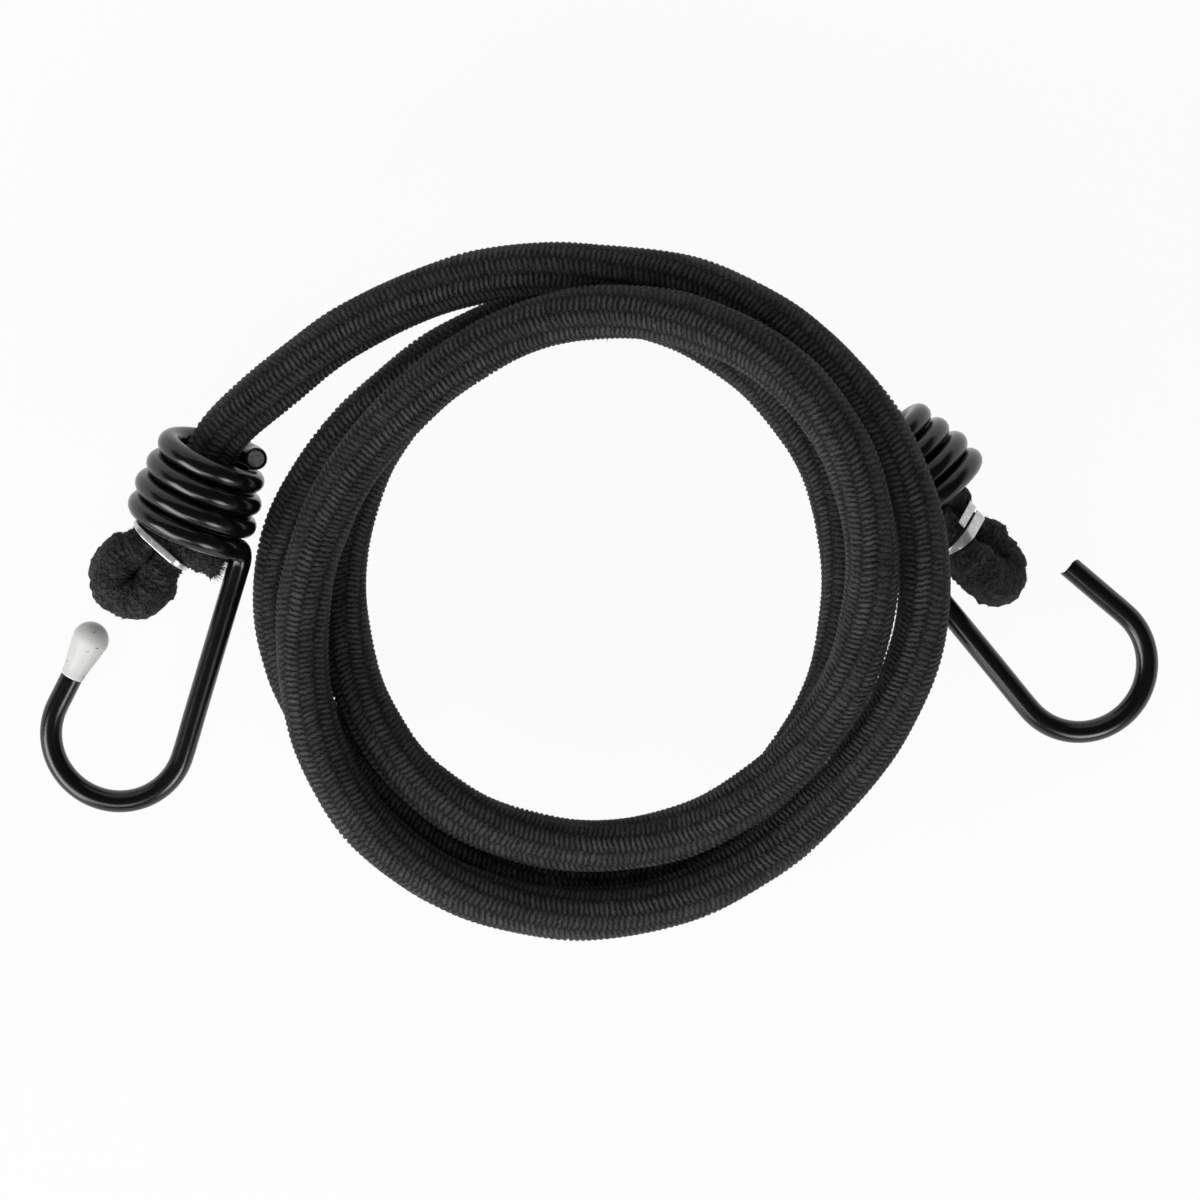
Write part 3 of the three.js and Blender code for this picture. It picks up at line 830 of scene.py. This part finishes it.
def capPiece(name):
    # bulb spun from its side profile, with a blind bore
    base = hookShape["wireRadius"] + capShape["lip"]
    bulge = hookShape["wireRadius"] + capShape["bulge"]
    bore = hookShape["steelRadius"] + capShape["boreRoom"]
    edge = capShape["edge"]
    shoulder = capShape["length"] - bulge
    side = finely([
        (base, 0.0, 0.0),
        (base + capShape["lip"], capShape["lipPlace"] * shoulder, 0.0),
        (0.5 * (base + bulge), capShape["flarePlace"] * shoulder, 0.0),
        (bulge, shoulder, 0.0),
    ], capShape["sideSteps"])
    profile = [(0.0, capShape["bore"]), (bore, capShape["bore"]), (bore, edge)]
    profile += [(bore + edge, 0.0), (base - edge, 0.0)]
    profile += [(spot[0], spot[1]) for spot in side[1:]]
    crown = np.linspace(0, math.pi / 2, capShape["crownSteps"] + 1)[1:]
    profile += [(bulge * math.cos(turn), shoulder + bulge * math.sin(turn)) for turn in crown]
    spots = [(radius * mm, 0.0, height * mm) for radius, height in profile]
    mesh = bpy.data.meshes.new(name)
    mesh.from_pydata(spots, [(k, k + 1) for k in range(len(spots) - 1)], [])
    piece = linkPiece(name, mesh, "cap")
    selectOnly(piece)
    bpy.ops.object.mode_set(mode="EDIT")
    bpy.ops.mesh.select_all(action="SELECT")
    bpy.ops.mesh.spin(steps=capShape["segments"], angle=2 * math.pi, center=(0, 0, 0), axis=(0, 0, 1))
    bpy.ops.mesh.select_all(action="SELECT")
    bpy.ops.mesh.remove_doubles(threshold=capShape["weld"] * mm)
    bpy.ops.mesh.normals_make_consistent(inside=False)
    bpy.ops.object.mode_set(mode="OBJECT")
    bpy.ops.object.shade_smooth_by_angle(angle=capShape["smoothAngle"] * degree)
    return piece


for side, end in ends.items():
    matrix = placement(end, end["hookRoll"])
    capped = side == "left"
    coatedTip = capShape["seat"] + capShape["gap"] if capped else hookShape["tipLength"]
    line = placed(hookLine(coatedTip), matrix)
    coating = wirePiece(side + "Coating", line, hookShape["wireRadius"], "coating")
    cutEnd(coating, line[-1], line[-2], True)
    if not capped:
        cutEnd(coating, line[0], line[1], False)
        tearEnd(coating, line[0], line[1])
    steelLine = placed(hookLine(hookShape["tipLength"] - hookShape["steelShort"]), matrix)
    ending = steelLine[-1] - steelLine[-2]
    steelLine[-1] -= hookShape["steelSetback"] * ending / np.linalg.norm(ending)
    steel = wirePiece(side + "Wire", steelLine, hookShape["steelRadius"], "wire")
    for piece, node in ((coating, "_hook_coating"), (steel, "_hook_wire")):
        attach(piece, side + "_hook")
        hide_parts(side + node)
    print(side, "hook:", len(coating.data.polygons), "faces, lowest point",
          round(min(v.co.z for v in coating.data.vertices) / mm, 2), "mm")

leftMatrix = placement(ends["left"], ends["left"]["hookRoll"])
farEnd = leftMatrix @ Vector(tipPoint(capShape["seat"] + capShape["length"]))
finishes["cap"] = softVinyl(farEnd + Vector(capShape["smudge"]))
cap = capPiece("tipCap")
axis = Vector(tipPoint(1.0)) - Vector(tipPoint(0.0))
seat = Vector(tipPoint(capShape["seat"] + capShape["gap"]))
stand = Vector((0, 0, 1)).rotation_difference(axis).to_matrix().to_4x4()
cap.data.transform(inMetres(leftMatrix) @ Matrix.Translation(seat * mm) @ stand)
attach(cap, "left_hook")
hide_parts("left_tip_cap")
print("cap made")


clipShape = {
    "reach": 3.5, "edge": 0.2, "stepAngle": 7.5, "shiftStart": 90, "shiftLength": 150, "roundness": 2,
    "smoothAngle": 40,
}


def clipPiece(name, end):
    # flat strip wound round both legs, drawn as an extruded and bevelled path
    spots = []
    count = int(abs(end["clipEnd"] - end["clipStart"]) / clipShape["stepAngle"])
    for angle in np.linspace(end["clipStart"], end["clipEnd"], count + 1):
        wound = (end["clipStart"] - angle - clipShape["shiftStart"]) / clipShape["shiftLength"]
        wound = eased(min(max(wound, 0), 1))
        turned = angle * degree
        leg = math.copysign(foldShape["legSpread"], math.cos(turned))
        spots.append((leg + clipShape["reach"] * math.cos(turned), clipShape["reach"] * math.sin(turned),
                      -end["clipShift"] * (1 - wound)))
    shares, scales = zip(*end["clipTaper"])
    path = drawPath(name, np.array(spots), np.interp(np.linspace(0, 1, len(spots)), shares, scales))
    path.data.twist_mode = "Z_UP"
    path.data.extrude = (end["clipWidth"] / 2 - clipShape["edge"]) * mm
    path.data.bevel_depth = clipShape["edge"] * mm
    path.data.bevel_resolution = clipShape["roundness"]
    piece = meshOf(path, "clip", clipShape["smoothAngle"])
    neck, legs = neckAxes(end)
    own = Matrix(((*legs, 0.0), (0, 0, 1), (*neck, 0.0))).transposed().to_4x4()
    own.translation = Vector((*end["clipPlace"], 0.0))
    piece.data.transform(inMetres(placement(end, end["foldRoll"]) @ own))
    return piece


for side, end in ends.items():
    clip = clipPiece(side + "Clip", end)
    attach(clip, side + "_end")
    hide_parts(side + "_clip")
    print(side, "clip:", len(clip.data.polygons), "faces")


# floor: it lies just below the lowest place that a turned hook reaches
floorShape = {"depth": 18.0, "size": 8.0, "whiteShare": 0.93}


def whiteFloor():
    # plain paper sweep: white where it is seen or mirrored, and it keeps a soft shadow
    material, tree = newMaterial("whiteFloor")
    rays = addNode(tree, "ShaderNodeLightPath")
    seen = addMath(tree, "MAXIMUM", rays.outputs["Is Camera Ray"], rays.outputs["Is Glossy Ray"])
    shown = addMath(tree, "MAXIMUM", seen, rays.outputs["Is Transmission Ray"])
    share = addMath(tree, "MULTIPLY", shown, floorShape["whiteShare"])
    paper = addNode(tree, "ShaderNodeBsdfDiffuse", Color=hexColor("#f2f2f2"))
    glow = addNode(tree, "ShaderNodeEmission", Color=(1, 1, 1, 1), Strength=1.0)
    mixed = addNode(tree, "ShaderNodeMixShader", in0=share, in1=paper.outputs[0], in2=glow.outputs[0])
    addNode(tree, "ShaderNodeOutputMaterial", in0=mixed.outputs[0])
    return material


bpy.ops.object.select_all(action="DESELECT")
bpy.ops.mesh.primitive_plane_add(size=floorShape["size"], location=(0, 0, -floorShape["depth"] * mm))
floor = bpy.context.object
floor.name = "floor"
floor.data.materials.append(whiteFloor())

# room by the height of a direction, where 1 is straight up: white where it is seen, white low round the
# horizon where it is mirrored, and for dull surfaces a weak fill with a narrow light from straight above
room = {"mirrorEnd": 0.25, "mirrorFull": 0.02, "ceilingStart": 0.92, "ceiling": 2.2, "fill": 0.06}
world = bpy.context.scene.world or bpy.data.worlds.new("studio")
bpy.context.scene.world = world
world.use_nodes = True
sky = world.node_tree
sky.nodes.clear()
rays = addNode(sky, "ShaderNodeLightPath")
facing = addNode(sky, "ShaderNodeTexCoord")
direction = addNode(sky, "ShaderNodeSeparateXYZ", in0=facing.outputs["Generated"])
low = addNode(sky, "ShaderNodeMapRange", Value=direction.outputs[2], FromMin=room["mirrorEnd"],
              FromMax=room["mirrorFull"])
mirrored = addMath(sky, "MULTIPLY", rays.outputs["Is Glossy Ray"], low.outputs[0])
seen = addMath(sky, "MAXIMUM", rays.outputs["Is Camera Ray"], mirrored)
shown = addMath(sky, "MAXIMUM", seen, rays.outputs["Is Transmission Ray"])
high = addNode(sky, "ShaderNodeMapRange", Value=direction.outputs[2], FromMin=room["ceilingStart"],
               FromMax=1.0, ToMax=room["ceiling"])
overhead = addMath(sky, "MULTIPLY", rays.outputs["Is Diffuse Ray"], high.outputs[0])
fill = addMath(sky, "ADD", overhead, room["fill"])
level = addMath(sky, "MAXIMUM", shown, fill)
back = addNode(sky, "ShaderNodeBackground", Color=(1, 1, 1, 1), Strength=level)
addNode(sky, "ShaderNodeOutputWorld", in0=back.outputs[0])

# name, place, size and power of each lamp, all turned to the middle of the cord
lamps = [
    ("northWall", (-0.3, 1.4, 0.7), (2.6, 1.3), 7.0),
    ("southWestBox", (-0.95, -0.7, 0.47), (1.0, 0.65), 13.8),
    ("midSouthBox", (-0.32, -0.8, 0.72), (0.4, 0.3), 1.5),
    ("southEastBox", (0.5, -1.0, 0.68), (0.5, 0.5), 6.0),
]
for name, place, size, power in lamps:
    bpy.ops.object.light_add(type="AREA", location=place)
    lamp = bpy.context.object
    lamp.name = name
    lamp.data.shape = "RECTANGLE"
    lamp.data.size, lamp.data.size_y = size
    lamp.data.energy = power
    lamp.rotation_euler = Vector(place).to_track_quat("Z", "Y").to_euler()
print("floor and lamps set")
